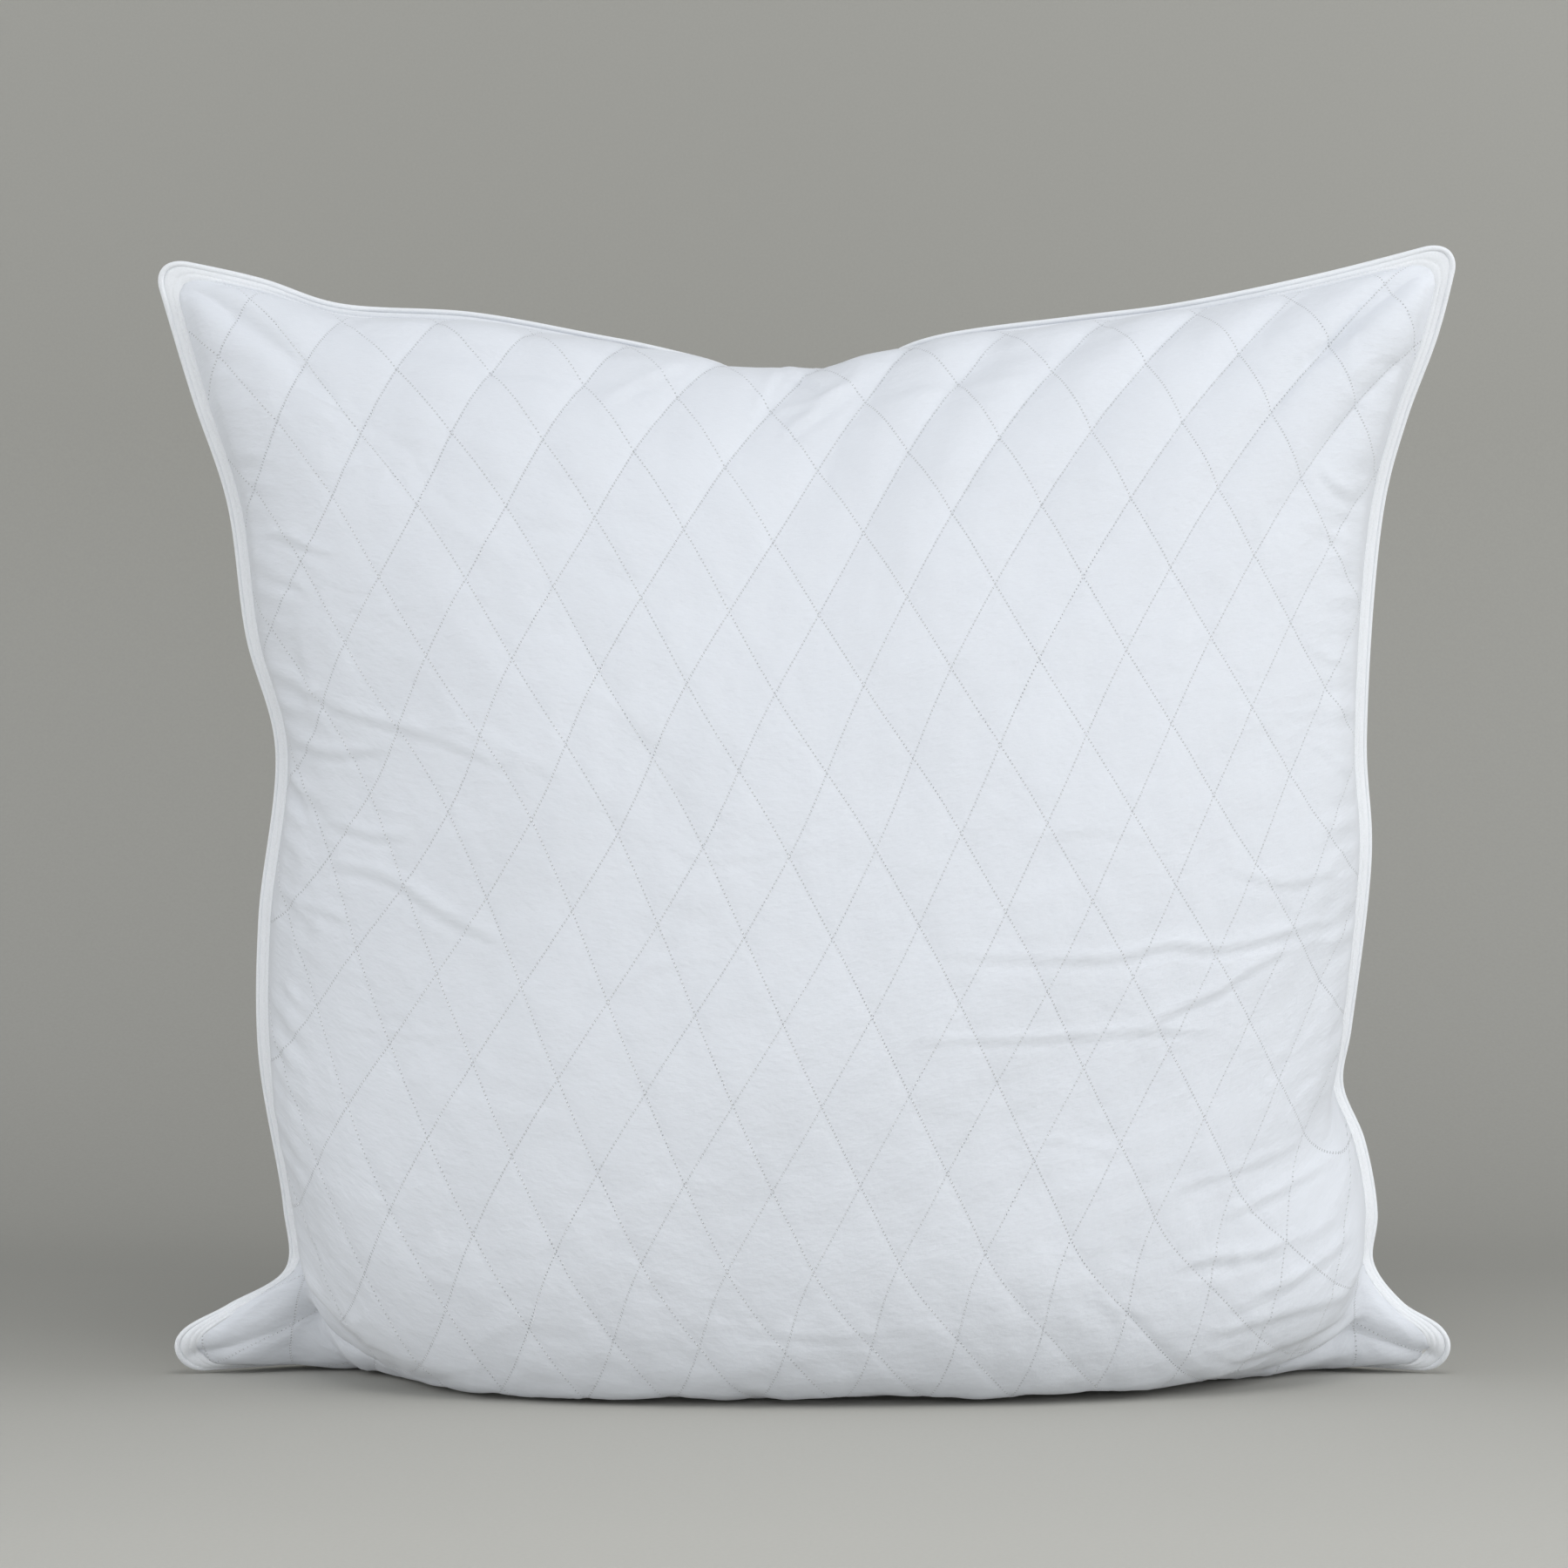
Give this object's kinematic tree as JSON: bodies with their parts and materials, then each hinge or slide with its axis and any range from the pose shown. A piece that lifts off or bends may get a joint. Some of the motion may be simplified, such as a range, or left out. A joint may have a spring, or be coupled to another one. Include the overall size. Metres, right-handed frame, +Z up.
{
  "type": "quilted bed pillow",
  "caption": "Square down-filled bed pillow with a diamond-quilted white cotton cover, piped edge, standing on its lower edge, zip low on the back.",
  "frame": {"origin": "bottom centre of the bounding box, on the surface that the pillow stands on", "axes": "+Z up, front towards -Y, +X across the pillow's width"},
  "size_m": [0.7718, 0.2916, 0.6717],
  "materials": {
    "cover_cotton": "fine plain-weave cotton, matte with a faint sheen",
    "wadding": "soft polyester wadding",
    "lining": "thin non-woven backing",
    "inner_case": "down-proof cotton",
    "fill": "down and small feathers",
    "cord": "twisted cotton cord",
    "piping_tape": "bias-cut cotton tape",
    "zip_tape": "woven polyester tape",
    "zip_coil": "white nylon coil",
    "zip_metal": "white enamel"
  },
  "bodies": {
    "pillow": {"front_cover": "cover_cotton", "back_cover": "cover_cotton", "front_wadding": "wadding", "back_wadding": "wadding", "front_lining": "lining", "back_lining": "lining", "inner_case_front": "inner_case", "inner_case_back": "inner_case", "down_feather_fill": "fill", "piping_cord": "cord", "piping_tape": "piping_tape", "zip_tape_lower": "zip_tape", "zip_tape_upper": "zip_tape", "zip_coil_lower": "zip_coil", "zip_coil_upper": "zip_coil", "zip_stop_closed_end": "zip_metal", "zip_stop_open_end": "zip_metal"},
    "slider": {"zip_slider": "zip_metal"},
    "pull": {"zip_pull": "zip_metal"}
  },
  "joints": [
    {"name": "zip_slider_travel", "type": "slide", "parent": "pillow", "child": "slider", "axis": [-1, 0, 0], "range_m": [0, 0.516]},
    {"name": "zip_pull_swing", "type": "hinge", "parent": "slider", "child": "pull", "pos_m": [0.26154, 0.03379, 0.01486], "axis": [0, -0.5626, -0.8267], "range_deg": [0, 180]}
  ]
}
